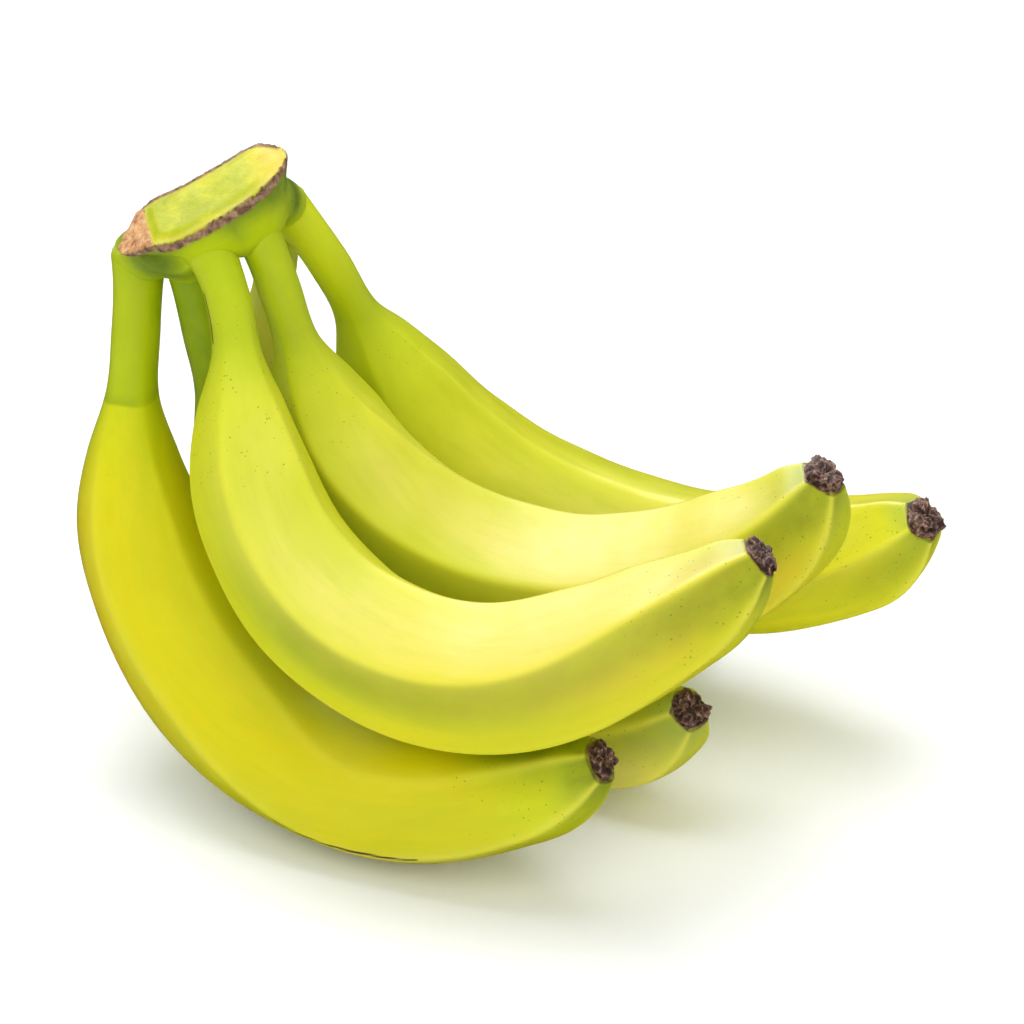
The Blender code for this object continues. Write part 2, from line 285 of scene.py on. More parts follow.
def grid_object(name, points, values, straight):
    """A closed skin over a grid of points in mm: rows along it, columns round it, a fan at each end."""
    rows, columns = points.shape[:2]
    ends = np.stack([points[0].mean(0), points[-1].mean(0)])
    verts = np.concatenate([points.reshape(-1, 3), ends]) * MM
    i, k = np.meshgrid(np.arange(rows - 1), np.arange(columns), indexing="ij")
    here, next_row = i * columns, (i + 1) * columns
    j = (k + 1) % columns
    quads = np.stack([here + k, here + j, next_row + j, next_row + k], -1).reshape(-1, 4)
    ring = np.arange(columns)
    after = (ring + 1) % columns
    start = (rows - 1) * columns
    first = np.stack([after, ring, np.full(columns, rows * columns)], -1)
    last = np.stack([start + ring, start + after, np.full(columns, rows * columns + 1)], -1)
    data = bpy.data.meshes.new(name)
    data.from_pydata(verts.tolist(), [], quads.tolist() + first.tolist() + last.tolist())
    for key, value in values.items():
        store(data, key, np.concatenate([value.ravel(), [value[0].mean(), value[-1].mean()]]))
    store_straight(data, np.concatenate([
        straight.reshape(-1, 3), [straight[0].mean(0), straight[-1].mean(0)],
    ]))
    unwrap(data, rows, columns)
    data.shade_smooth()
    made = bpy.data.objects.new(name, data)
    bpy.context.scene.collection.objects.link(made)
    return made


def unwrap(data, rows, columns):
    """A map of the grid as one sheet, with a row of points over each end."""
    i, k = np.meshgrid(np.arange(rows - 1), np.arange(columns), indexing="ij")
    u, v = k / columns, (i + 1) / (rows + 1)
    du, dv = 1 / columns, 1 / (rows + 1)
    ring = np.arange(columns) / columns
    none = 0 * ring
    low, high = none + dv, none + (1 - dv)
    sheet = (
        np.stack([u, v, u + du, v, u + du, v + dv, u, v + dv], -1),
        np.stack([ring + du, low, ring, low, ring + du / 2, none], -1),
        np.stack([ring, high, ring + du, high, ring + du / 2, none + 1], -1),
    )
    corners = np.concatenate([part.reshape(-1, 2) for part in sheet])
    layer = data.uv_layers.new(name="OFBake")
    layer.uv.foreach_set("vector", corners.astype(np.float32).ravel())


def dress(piece, slot, *nodes):
    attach(piece, "root")
    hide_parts(*nodes)


# --- materials --------------------------------------------------------------------------------------


# The colour sockets of a mix node, which has others of the same names.
MIX_FIRST = 6
MIX_SECOND = 7
MIX_RESULT = 2


class Tree:
    """A material's nodes, wired by short calls."""

    def __init__(self, name):
        self.material = bpy.data.materials.new(name)
        self.material.use_nodes = True
        self.tree = self.material.node_tree
        self.shader = self.tree.nodes["Principled BSDF"]

    def feed(self, socket, value):
        """Links a socket to another node's, or sets its own value."""
        if isinstance(value, bpy.types.NodeSocket):
            self.tree.links.new(value, socket)
        else:
            socket.default_value = value

    def shade(self, key, value):
        self.feed(self.shader.inputs[key], value)

    def math(self, operation, *values):
        node = self.tree.nodes.new("ShaderNodeMath")
        node.operation = operation
        for socket, value in zip(node.inputs, values):
            self.feed(socket, value)
        return node.outputs[0]

    def times(self, first, second):
        return self.math("MULTIPLY", first, second)

    def mix(self, amount, first, second):
        node = self.tree.nodes.new("ShaderNodeMix")
        node.data_type = "RGBA"
        self.feed(node.inputs["Factor"], amount)
        self.feed(node.inputs[MIX_FIRST], first)
        self.feed(node.inputs[MIX_SECOND], second)
        return node.outputs[MIX_RESULT]

    def value(self, key):
        node = self.tree.nodes.new("ShaderNodeAttribute")
        node.attribute_name = key
        return node.outputs["Fac"]

    def straight(self, stretch=(1.0, 1.0, 1.0)):
        """Place on the straightened skin, which a small stretch draws out."""
        node = self.tree.nodes.new("ShaderNodeAttribute")
        node.attribute_name = "straight"
        scaled = self.tree.nodes.new("ShaderNodeVectorMath")
        scaled.operation = "MULTIPLY"
        self.feed(scaled.inputs[0], node.outputs["Vector"])
        self.feed(scaled.inputs[1], stretch)
        return scaled.outputs[0]

    def noise(self, where, scale, detail=2.0, roughness=0.5, bend=0.0):
        node = self.tree.nodes.new("ShaderNodeTexNoise")
        self.feed(node.inputs["Vector"], where)
        self.feed(node.inputs["Scale"], scale)
        self.feed(node.inputs["Detail"], detail)
        self.feed(node.inputs["Roughness"], roughness)
        self.feed(node.inputs["Distortion"], bend)
        return node.outputs["Fac"]

    def spots(self, where, scale):
        """Distance from the nearest of many scattered points, in cells, and that point's own draw."""
        node = self.tree.nodes.new("ShaderNodeTexVoronoi")
        self.feed(node.inputs["Vector"], where)
        self.feed(node.inputs["Scale"], scale)
        draws = self.tree.nodes.new("ShaderNodeSeparateColor")
        self.feed(draws.inputs[0], node.outputs["Color"])
        return node.outputs["Distance"], draws.outputs[0]

    def ramp(self, amount, stops):
        node = self.tree.nodes.new("ShaderNodeValToRGB")
        line = node.color_ramp
        while len(line.elements) > 1:
            line.elements.remove(line.elements[-1])
        for number, (place, colour) in enumerate(stops):
            element = line.elements[0] if number == 0 else line.elements.new(place)
            element.position = place
            element.color = colour
        self.feed(node.inputs["Fac"], amount)
        return node.outputs["Color"]

    def between(self, value, low, high):
        """0 below low and 1 above high, or the other way round where high is the lower."""
        node = self.tree.nodes.new("ShaderNodeMapRange")
        node.interpolation_type = "SMOOTHSTEP"
        self.feed(node.inputs["Value"], value)
        self.feed(node.inputs["From Min"], low)
        self.feed(node.inputs["From Max"], high)
        return node.outputs["Result"]

    def bump(self, height, strength, distance, normal=None):
        node = self.tree.nodes.new("ShaderNodeBump")
        self.feed(node.inputs["Height"], height)
        self.feed(node.inputs["Strength"], strength)
        self.feed(node.inputs["Distance"], distance)
        if normal is not None:
            self.feed(node.inputs["Normal"], normal)
        return node.outputs["Normal"]

    def glow(self, weight, depths, scale):
        """Light that enters the surface and comes out again nearby, with a depth for each colour."""
        self.shade("Subsurface Weight", weight)
        self.shade("Subsurface Radius", depths)
        self.shade("Subsurface Scale", scale)


# --- skins ------------------------------------------------------------------------------------------


STALK_GREEN = rgb(172, 190, 4)
DEEP_GREEN = rgb(136, 162, 18)
NECK_GREEN = rgb(150, 170, 4)
GOLD = rgb(208, 197, 0)
BRIGHT_GREEN = rgb(200, 210, 16)
BRIGHT_LIME = rgb(216, 216, 16)
BRIGHT_YELLOW = rgb(232, 224, 4)
# Colour of the painted shade on the side below the first ridge.
SHADE_OLIVE = rgb(122, 132, 0)
# Deep green of the tips, also the colour of painted shadow on tips and undersides.
MOSS_AND_PAINTED_SHADE = rgb(92, 106, 6)
GREEN = rgb(168, 184, 6)
LIME = rgb(202, 206, 5)
YELLOW = rgb(216, 205, 2)
PALE = rgb(226, 220, 70)
# Colour of the painted light: a painted sheen on upward facets and painted light on shaded sides.
PAINTED_LIGHT_CREAM = rgb(222, 209, 116)
WARM = rgb(214, 170, 10)
TIP_GREEN = rgb(150, 172, 44)
BROWN = rgb(92, 62, 40)
SPECK = rgb(96, 104, 30)

# Colours along each banana: share of the body, below 0 on the stalk.
SKINS = {
    "banana_1": (
        (-0.19, STALK_GREEN), (-0.03, STALK_GREEN), (-0.012, NECK_GREEN), (-0.006, LIME),
        (0.12, GOLD), (0.86, GOLD), (0.95, LIME), (1.0, TIP_GREEN),
    ),
    "banana_2": (
        (-0.15, STALK_GREEN), (-0.01, GREEN), (0.07, LIME), (0.35, LIME),
        (0.55, YELLOW), (0.86, YELLOW), (0.95, LIME), (1.0, TIP_GREEN),
    ),
    "banana_3": (
        (-0.2, STALK_GREEN), (-0.03, GREEN), (0.10, LIME), (0.45, LIME),
        (0.65, YELLOW), (0.86, YELLOW), (0.95, LIME), (1.0, TIP_GREEN),
    ),
    "banana_4": (
        (-0.2, BRIGHT_GREEN), (-0.02, GREEN), (0.08, BRIGHT_GREEN), (0.3, BRIGHT_LIME),
        (0.60, BRIGHT_LIME), (0.78, BRIGHT_YELLOW), (0.96, BRIGHT_YELLOW), (1.0, TIP_GREEN),
    ),
    "banana_5": (
        (-0.24, DEEP_GREEN), (0.0, DEEP_GREEN), (0.12, GREEN), (0.4, LIME),
        (0.75, BRIGHT_YELLOW), (0.92, BRIGHT_YELLOW), (1.0, TIP_GREEN),
    ),
    "banana_6": (
        (-0.21, GREEN), (-0.03, LIME), (0.08, PALE), (0.3, LIME),
        (0.6, LIME), (0.85, GREEN), (1.0, TIP_GREEN),
    ),
}
# Soft spots: what they hold, where along the body and round it, their half sizes in mm, and strength.
# Green and deep spots are partly the skin's own green and partly painted shade, on undersides and where
# neighbours shade them; pale spots are painted light, a painted sheen on the upward facets and painted
# light on shaded sides; warm spots are the skin's own tint.
SPOTS = {
    "banana_1": (
        ("warm", 0.26, -130, 22, 5, 0.5),
        ("green", 0.35, -168, 55, 10, 0.55),
        ("deep", 0.998, -62, 7, 11, 0.9),
        ("deep", 0.95, -22, 18, 10, 1.3),
        ("deep", 0.28, -172, 65, 8, 0.5),
        ("green", 0.45, -20, 60, 8, 0.5),
        ("pale", 0.66, -137, 32, 2.2, 0.8),
    ),
    "banana_2": (
        ("warm", 0.80, -110, 25, 7, 0.3),
        ("green", 0.15, -80, 25, 8, 0.5),
        ("green", 0.38, -118, 60, 7, 0.7),
        ("pale", 0.38, -62, 45, 13, 0.6),
        ("pale", 0.68, -48, 45, 14, 0.75),
        ("pale", 0.14, -48, 18, 9, 0.35),
        ("deep", 0.955, -103, 15, 8, 0.9),
        ("warm", 0.93, -50, 18, 8, 0.45),
    ),
    "banana_3": (
        ("warm", 0.85, -110, 20, 6, 0.3),
        ("pale", 0.22, -45, 25, 10, 0.5),
        ("pale", 0.55, -28, 60, 14, 0.8),
        ("pale", 0.88, -20, 20, 10, 0.6),
        ("green", 0.35, -95, 50, 7, 0.5),
        ("deep", 0.95, -92, 17, 9, 1.0),
    ),
    "banana_4": (
        ("pale", 0.55, -28, 60, 12, 0.6),
        ("green", 0.20, -95, 30, 8, 0.6),
        ("deep", 0.955, -108, 15, 6, 0.55),
    ),
    "banana_5": (("deep", 0.93, -70, 18, 9, 0.7), ("pale", 0.84, -120, 26, 10, 0.8)),
    "banana_6": (("pale", 0.3, -90, 60, 20, 0.8),),
}
# Brown lines: from and to along the body and round it, and half width in mm.
SCARS = {
    "banana_1": ((0.57, -121, 0.75, -133, 0.55), (-0.185, -158, -0.165, -150, 0.7)),
    "banana_2": ((-0.10, -142, -0.03, -140, 0.5),),
}
SCAR_STRENGTH = 0.8
TIP_BROWN = 0.52  # how strongly the last of the skin browns, round the remains of the flower
# Painted shade: how much darker the side below the first ridge is painted, on the body and at the tip.
UNDER_SHADE = {
    "banana_1": (0.15, 0.4), "banana_2": (0.5, 0.62), "banana_3": (0.15, 0.65),
    "banana_4": (0.15, 0.3), "banana_5": (0.1, 0.1), "banana_6": (0.0, 0.0),
}
# How many specks there are: everywhere, and more of them round the neck and at the tip.
FEW_SPECKS = 0.25
NECK_SPECKS = {
    "banana_1": 0.2, "banana_2": 1.3, "banana_3": 0.4,
    "banana_4": 0.3, "banana_5": 0.5, "banana_6": 0.5,
}
TIP_SPECKS = 1.6

# Scales of the patterns on the peel, in waves or cells per metre.
CLOUD_SCALE = 22.0
PATCH_SCALE = 60.0
MOTTLE_SCALE = 130.0
DENT_SCALE = 260.0
STREAK_SCALE = 420.0
SPECK_SCALE = 1000.0
PORE_SCALE = 1500.0
SPECK_EDGE_SCALE = 2600.0
STREAKED = (0.16, 1.0, 1.0)  # draws a pattern out along the banana
# How strongly each pattern shows.
CLOUD_DRIFT = 0.10  # share of the length by which the colours along the banana wander
PATCH_SHOWS = 0.30
MOTTLE_SHOWS = 0.22
STREAK_SHOWS = 0.16
# How strongly the painted highlight along the ridges shows, and what it gains towards the tip.
RIDGE_HIGHLIGHT = 0.18
RIDGE_HIGHLIGHT_MORE = 0.35  # added towards the tip
SPECK_SHOWS = 0.6
SPECK_SIZE = 0.34  # of the largest, in cells
SPECK_RARITY = 2.5  # the higher, the smaller most of them are
SPECK_RAGGED = 0.16
PEEL_ROUGHNESS = 0.38
PEEL_SHINE = 0.34


def skin_stops(finger):
    """The banana's colours against the share of its whole length."""
    low = finger.stalk / finger.length
    stops = []
    for share, colour in SKINS[finger.name]:
        stops.append((min(max(low + share * (1 - low), 0.0), 1.0), colour))
    return stops


def skin_material(finger):
    """Waxy peel: greener at its ends, with soft spots, a painted highlight on the ridges, painted shade
    below the first ridge, mottling, specks and scars.
    """
    tree = Tree("peel_" + str(finger.seed))
    along = tree.value("along")
    place = tree.straight()
    streaked = tree.straight(STREAKED)
    cloud = tree.noise(place, CLOUD_SCALE, 3.0)
    drift = tree.math("MULTIPLY_ADD", tree.math("SUBTRACT", cloud, 0.5), CLOUD_DRIFT, along)
    colour = tree.ramp(drift, skin_stops(finger))
    # Green spots: partly the skin's own greener patches and partly painted shade on facets turned away
    # from the light.
    green = tree.times(tree.value("green"), tree.between(cloud, 0.2, 0.62))
    colour = tree.mix(green, colour, GREEN)
    # Deep green spots: the tips' own deeper green, with painted shadow where neighbouring bananas shade
    # the tips and on undersides.
    deep = tree.times(tree.value("deep"), tree.between(cloud, 0.1, 0.5))
    colour = tree.mix(deep, colour, MOSS_AND_PAINTED_SHADE)
    # Warm spots are the skin's own tint; pale spots are painted light, and the band below the first ridge
    # is painted shade.
    for kind, tint in (("warm", WARM), ("pale", PAINTED_LIGHT_CREAM), ("under", SHADE_OLIVE)):
        colour = tree.mix(tree.value(kind), colour, tint)
    patch = tree.between(tree.noise(streaked, PATCH_SCALE, 3.0, 0.55, 0.6), 0.44, 0.66)
    colour = tree.mix(tree.times(patch, PATCH_SHOWS), colour, GREEN)
    mottle = tree.between(tree.noise(place, MOTTLE_SCALE, 4.0, 0.6), 0.35, 0.75)
    colour = tree.mix(tree.times(mottle, MOTTLE_SHOWS), colour, LIME)
    streak = tree.between(tree.noise(streaked, STREAK_SCALE, 3.0, 0.6), 0.4, 0.75)
    colour = tree.mix(tree.times(streak, STREAK_SHOWS), colour, GREEN)
    # Painted highlight along each ridge, stronger towards the tip.
    near_tip = tree.between(along, 0.86, 0.98)
    paler = tree.math("MULTIPLY_ADD", near_tip, RIDGE_HIGHLIGHT_MORE, RIDGE_HIGHLIGHT)
    colour = tree.mix(tree.times(tree.value("ridge"), paler), colour, PALE)
    colour = tree.mix(tree.times(speck_pattern(tree, place, cloud), SPECK_SHOWS), colour, SPECK)
    scar = tree.math("ADD", tree.value("scar"), tree.times(streak, 0.2))
    colour = tree.mix(tree.between(scar, 0.35, 0.7), colour, BROWN)
    tree.shade("Base Color", colour)
    tree.shade("Roughness", tree.math("MULTIPLY_ADD", mottle, 0.10, PEEL_ROUGHNESS))
    tree.shade("Specular IOR Level", PEEL_SHINE)
    tree.glow(0.12, (1.0, 0.8, 0.12), 0.003)
    dents = tree.bump(tree.noise(streaked, DENT_SCALE, 3.0), 0.25, 0.0004)
    pores = tree.bump(tree.noise(place, PORE_SCALE, 2.0), 0.16, 0.00012, dents)
    tree.shade("Normal", pores)
    return tree.material


def speck_pattern(tree, place, cloud):
    """1 on ragged specks of many sizes, which lie closer where "specks" is high."""
    near, draw = tree.spots(place, SPECK_SCALE)
    edge = tree.noise(place, SPECK_EDGE_SCALE, 2.0)
    near = tree.math("MULTIPLY_ADD", edge, SPECK_RAGGED, near)
    size = tree.times(tree.math("POWER", draw, SPECK_RARITY), SPECK_SIZE)
    crowd = tree.math("ADD", tree.value("specks"), tree.times(cloud, 0.35))
    return tree.math("GREATER_THAN", tree.times(size, tree.between(crowd, 0.18, 0.95)), near)


def skin_rows(finger):
    """Distances along the centre line at which the skin has a ring of points."""
    end_ring, start = SKIN_STARTS
    stalk = np.linspace(start, finger.stalk, STALK_ROWS)[:-1]
    body = np.linspace(finger.stalk, finger.length, ROWS - STALK_ROWS)
    return np.concatenate([[end_ring], stalk, body])


def spot_values(finger, t, angle, radius):
    """How strongly the soft spots of each kind show."""
    values = {kind: np.zeros_like(t) for kind in ("green", "deep", "warm", "pale")}
    for kind, at, round_at, half_length, half_width, strength in SPOTS[finger.name]:
        ds = (t - at) * finger.body / half_length
        da = turned_back(angle - math.radians(round_at)) * radius / half_width
        values[kind] = np.maximum(values[kind], strength * np.exp(-ds ** 2 - da ** 2))
    return values


def painted_shade_below_ridge(finger, s, angle, radius):
    """How strongly painted shade darkens the side just below the first ridge."""
    t = finger.share(s)
    below = turned_back(finger.ridge_line(s) - angle) * radius
    side = ease(-0.4, 1.4, below) * (1 - ease(5.0, 15.0, below))
    body, tip = UNDER_SHADE[finger.name]
    return (body + (tip - body) * ease(0.80, 0.92, t)) * side * ease(0.2, 0.42, t)


def scar_values(finger, t, angle, radius):
    """How brown the skin is, along its scars and at its very end."""
    scar = TIP_BROWN * ease(0.997, 0.9992, t)
    for from_share, from_angle, to_share, to_angle, half_width in SCARS.get(finger.name, ()):
        run = np.clip((t - from_share) / (to_share - from_share), 0, 1)
        line = np.radians(from_angle + (to_angle - from_angle) * run)
        da = turned_back(angle - line) * radius
        ds = np.maximum(from_share - t, t - to_share).clip(0) * finger.body
        scar = np.maximum(scar, SCAR_STRENGTH * np.exp(-((da ** 2 + ds ** 2) / half_width ** 2)))
    return scar


def make_banana(finger):
    around = np.linspace(0, math.tau, SIDES, endpoint=False)
    s, angle = np.meshgrid(skin_rows(finger), around, indexing="ij")
    radius = finger.radii(s) * finger.ridged(s, angle) + finger.uneven(s, angle)
    points = finger.world(*finger.section(s), radius, angle)
    points[..., 2] = np.maximum(points[..., 2], FLOOR / MM)
    t = finger.share(s)
    # Painted highlight line along each ridge.
    painted_ridge_highlight = bell(finger.ridge_offset(s, angle), 0.0, math.radians(RIDGE_HIGHLIGHT_BREADTH))
    specks = FEW_SPECKS + NECK_SPECKS[finger.name] * bell(t, 0.06, 0.09)
    specks = specks + TIP_SPECKS * bell(t, 1.0, 0.13)
    values = {
        "along": np.clip(s / finger.length, 0, 1),
        "ridge": painted_ridge_highlight * ease(0.0, 0.15, t),
        **spot_values(finger, t, angle, radius),
        # Painted shade on the side below the first ridge.
        "under": painted_shade_below_ridge(finger, s, angle, radius),
        "specks": specks,
        "scar": scar_values(finger, t, angle, radius),
    }
    straight = np.stack([s, radius * np.cos(angle), radius * np.sin(angle)], -1) * MM
    straight = straight + SKIN_APART * finger.seed
    piece = grid_object("peel_" + str(finger.seed), points, values, straight)
    piece.data.materials.append(skin_material(finger))
    dress(piece, "banana_skin", finger.name)


# --- dried flower remains ---------------------------------------------------------------------------


BLOSSOM_ROWS = 70
BLOSSOM_SIDES = 110
BLOSSOM_SIZES = (0.80, 0.83, 0.88, 0.92, 0.86, 0.88)  # of each banana's, as a factor
# From the skin's end up over the rim and into the sunken middle: radius and height.
BLOSSOM_AT = (0, 0.12, 0.3, 0.5, 0.7, 0.85, 1)
BLOSSOM_RADII = (5.0, 5.5, 5.6, 5.0, 3.6, 1.9, 0.25)
BLOSSOM_HEIGHTS = (-1.1, -0.2, 1.0, 2.2, 2.7, 2.6, 2.3)
BLOSSOM_HEART = 1.2  # height of the point that the crumples grow away from
CRUMPLE_SCALE = 0.60
CRUMPLE_NOISE = (0.9, 2.1, 4, 0.9, 2.0)  # fall, step, layers, offset and gain
KNOB_SCALE = 0.21
REMAINS = (
    (0.22, rgb(32, 20, 14)), (0.38, rgb(82, 56, 44)), (0.50, rgb(128, 94, 78)),
    (0.60, rgb(190, 148, 126)), (0.80, rgb(226, 194, 170)),
)


def blossom_material():
    """Dry and fibrous: pale tan on what stands up, and dark in the hollows as painted shade."""
    tree = Tree("dried_remains")
    grain = tree.noise(tree.straight(), 900.0, 5.0, 0.75)
    # The crumple height paints shade into the hollows; the grain gives the tissue's own flecks.
    level = tree.math("ADD", tree.times(tree.value("raised"), 0.50), tree.times(grain, 0.56))
    tree.shade("Base Color", tree.ramp(level, REMAINS))
    tree.shade("Roughness", tree.math("MULTIPLY_ADD", grain, -0.3, 0.85))
    tree.shade("Normal", tree.bump(grain, 0.7, 0.0004))
    return tree.material


def crumple(point, phase):
    """How far a point is raised by the crumples: 0 in the hollows and 1 on the folds."""
    spot = Vector(point) * CRUMPLE_SCALE + Vector((7.0 * phase, 0.0, 3.0))
    level = noise.ridged_multi_fractal(spot, *CRUMPLE_NOISE, noise_basis="PERLIN_ORIGINAL")
    return min(max((level - 0.5) / 1.6, 0.0), 1.0)


def blossom_shape(phase, size):
    """Points of the remains about their own axis, in mm, and how far each is raised."""
    around = np.linspace(0, math.tau, BLOSSOM_SIDES, endpoint=False)
    v, phi = np.meshgrid(np.linspace(0, 1, BLOSSOM_ROWS), around, indexing="ij")
    torn = 0.10 * np.cos(3 * phi + phase) + 0.07 * np.cos(7 * phi - 2 * phase)
    fold = 0.03 * np.cos(11 * phi + 2.0 * v + phase) + 0.025 * np.cos(17 * phi - 3.0 * v)
    outline = smooth_curve(BLOSSOM_AT, BLOSSOM_RADII, v) * size
    radius = outline * (1 + torn * v.clip(0, 0.5) * 2 + fold * ease(0.1, 0.3, v))
    lift = smooth_curve(BLOSSOM_AT, BLOSSOM_HEIGHTS, v)
    lift = lift * (1 + 0.8 * torn * ease(0.2, 0.5, v)) + 1.6 * fold * ease(0.2, 0.5, v)
    points = np.stack([radius * np.cos(phi), radius * np.sin(phi), lift], -1)
    flat = points.reshape(-1, 3)
    raised = np.array([crumple(point, phase) for point in flat])
    beside = Vector((0.0, 5.0 * phase, 1.0))
    knobs = np.array([noise.noise(Vector(point) * KNOB_SCALE + beside) for point in flat])
    away = flat - np.array([0, 0, BLOSSOM_HEART])
    away /= np.linalg.norm(away, axis=1, keepdims=True)
    amount = ((raised - 0.45) * 1.1 + 0.9 * knobs) * ease(0.05, 0.3, v).ravel()
    points = (flat + away * amount[:, None]).reshape(points.shape)
    return points, raised.reshape(v.shape)


def make_blossom(finger, dried):
    """Shrivelled folds round a sunken middle, torn at the rim, on the end of the skin."""
    points, raised = blossom_shape(float(finger.seed), BLOSSOM_SIZES[finger.seed - 1])
    end = np.array([finger.length])
    centre, outwards = finger.section(end)
    across = np.array([0.0, 1.0, 0.0])
    axes = np.stack([outwards[0], across, finger.along(end)[0]])
    placed = (centre[0] + points @ axes) @ finger.turn.T + finger.root
    piece = grid_object("flower_" + str(finger.seed), placed, {"raised": raised}, points * MM)
    piece.data.materials.append(dried)
    dress(piece, "dried_blossom", "blossom_end_" + str(finger.seed))


# --- crown ------------------------------------------------------------------------------------------

# The cut bar as the solids have it, seen on its cut face.
CROWN_CENTRE = (-74.5, -8.5, 156.1)
CROWN_TURN = 9
CROWN_RISE = 27
CROWN_TILT = 12
# Corners of the bar's outline, along and across it on the cut face.
CROWN_OUTLINE = (
    (-12.6, -0.6), (-4.0, -1.4), (6.0, -1.2), (15.6, -0.4), (20.0, -3.6), (23.0, -9.8), (21.6, -13.6),
    (15.2, -18.4), (6.0, -20.4), (-5.0, -21.1), (-11.0, -19.9), (-16.4, -16.2), (-25.2, -8.0),
)
CORNER_SLOPE = 0.4
CORNER_STEPS = 6
# Depth below the cut face, reach of the low and the high end, breadth.
CROWN_LEVELS = (
    (-3.0, -25.2, 23.0, 0.98),
    (0.0, -25.2, 23.0, 0.98),
    (3.2, -24.4, 21.2, 1.02),
    (7.0, -17.5, 18.8, 1.02),
    (11.5, -9.5, 17.0, 0.92),
    (16.5, -2.0, 14.0, 0.70),
)
CROWN_MIDDLE = -10.5
# The second cut, which slopes down to the bar's low end.
FACET_START = -15.5
FACET_SLOPE = 19
# A stub for each stalk, from between two ends inside the bar to just past the start of the stalk.
STUB_ENDS = (-12.5, 13.0)
STUB_ACROSS = -9.5
STUB_FOLLOWS = 0.25  # how far its place across the bar follows the stalk's
STUB_DEPTH = 8.5
STUB_PAST = 0.8
STUB_BEND = 0.1
STUB_PROUD = 0.4  # wider than the stalk
STUB_SIDES = 32
STUB_STEPS = 16
# Size of the cells in which the bar and stubs grow together, before the cuts are made and after, and how
# often the steps that the cells leave are eased.
GROWN = (0.9, 16)
CUT = (0.5, 2)

# Heights above a cut's plane: points above the first are on that cut, and points of the cut face are
# below the second on the facet.
ON_CUT = -0.45
OFF_FACET = -0.1
# Cork: how far it reaches down the side from a cut, and in over the cut face, where its upper edge has
# more of it than its lower one.
CORK_DEPTH = 2.5
LIP_BREADTH = 0.45
LIP_BREADER = 0.95
LIP_ACROSS = (-9.0, -3.5)
# The crease in which each stub meets its stalk, in mm from the start of the stalk.
CREASE_AT = -2.6
CREASE_REACH = 0.9
# How far the surfaces stand out or sink in.
CORK_RISE = 0.22
FACET_ROUGHNESS = 0.30
FACE_SWELL = 0.5
FACE_WAVES = 0.25
RIND_ROUGHNESS = 0.10
CREASE_DEPTH = 0.22
# What the cut face's colours go by: distance from its rim, and place along the bar from its low end.
INSET_SPAN = 8.0
LOW_END = -31
CUT_LENGTH = 52

RIND_DARK = rgb(100, 122, 28)
RIND_LIGHT = rgb(130, 152, 36)
CREASE_PALE = rgb(196, 208, 120)
FLESH_GREEN = rgb(164, 172, 2)
FLESH_YELLOW = rgb(196, 196, 26)
FLESH_FIBRE = rgb(176, 190, 20)
FLESH_RIPE = rgb(228, 186, 30)
FLESH_RIM = rgb(206, 186, 70)
CUT_EDGE = rgb(52, 36, 34)
CORK = (
    (0.3, rgb(66, 46, 38)), (0.45, rgb(118, 88, 70)),
    (0.6, rgb(160, 126, 100)), (0.75, rgb(196, 166, 140)),
)
CRUST = (
    (0.3, rgb(96, 60, 44)), (0.42, rgb(176, 124, 84)),
    (0.6, rgb(214, 168, 116)), (0.8, rgb(232, 200, 160)),
)


def crown_matrix():
    """The frame of the cut face: X along the bar, Y across it and Z out of the cut."""
    turn = Euler((0.0, 0.0, math.radians(CROWN_TURN))).to_matrix()
    rise = Euler((0.0, -math.radians(CROWN_RISE), 0.0)).to_matrix()
    tilt = Euler((math.radians(CROWN_TILT), 0.0, 0.0)).to_matrix()
    return Matrix.Translation(Vector(CROWN_CENTRE) + Vector(SHIFT)) @ (turn @ rise @ tilt).to_4x4()


def crown_ring(depth, low, high, breadth):
    """The outline at one depth, rounded between its corners."""
    corners = [Vector(point) for point in CROWN_OUTLINE]
    count = len(corners)
    face_low, face_high = CROWN_LEVELS[0][1:3]
    ring = []
    for k in range(count):
        before, here, after, last = (corners[(k + j) % count] for j in (-1, 0, 1, 2))
        slope_in = CORNER_SLOPE * (after - before)
        slope_out = CORNER_SLOPE * (last - here)
        for step in range(CORNER_STEPS):
            t = step / CORNER_STEPS
            point = here * (1 + 2 * t) * (1 - t) ** 2 + after * t * t * (3 - 2 * t)
            point += slope_in * t * (1 - t) ** 2 - slope_out * t * t * (1 - t)
            share = (point.x - face_low) / (face_high - face_low)
            y = CROWN_MIDDLE + breadth * (point.y - CROWN_MIDDLE)
            ring.append(Vector((low + share * (high - low), y, -depth)))
    return ring


def stub_rings(finger, matrix):
    """A stub from inside the bar to just past the start of the stalk."""
    root = Vector(finger.root)
    down = Vector(finger.down())
    low = root + down * STUB_PAST
    inside = matrix.inverted() @ root
    inside.x = min(max(inside.x, STUB_ENDS[0]), STUB_ENDS[1])
    inside.y = STUB_ACROSS + STUB_FOLLOWS * inside.y
    inside.z = -STUB_DEPTH
    high = matrix @ inside
    bend = low - down * STUB_BEND * (high - low).length
    neck = finger.neck * STALK_WIDTH[0] + STUB_PROUD
    side = down.orthogonal().normalized()
    around = [math.tau * k / STUB_SIDES for k in range(STUB_SIDES)]
    rings = []
    for step in range(STUB_STEPS + 1):
        t = step / STUB_STEPS
        centre = low * (1 - t) ** 2 + bend * 2 * t * (1 - t) + high * t * t
        heading = ((bend - low) * (1 - t) + (high - bend) * t).normalized()
        first = (side - heading * side.dot(heading)).normalized()
        second = heading.cross(first)
        rings.append([centre + neck * (math.cos(a) * first + math.sin(a) * second) for a in around])
    return rings


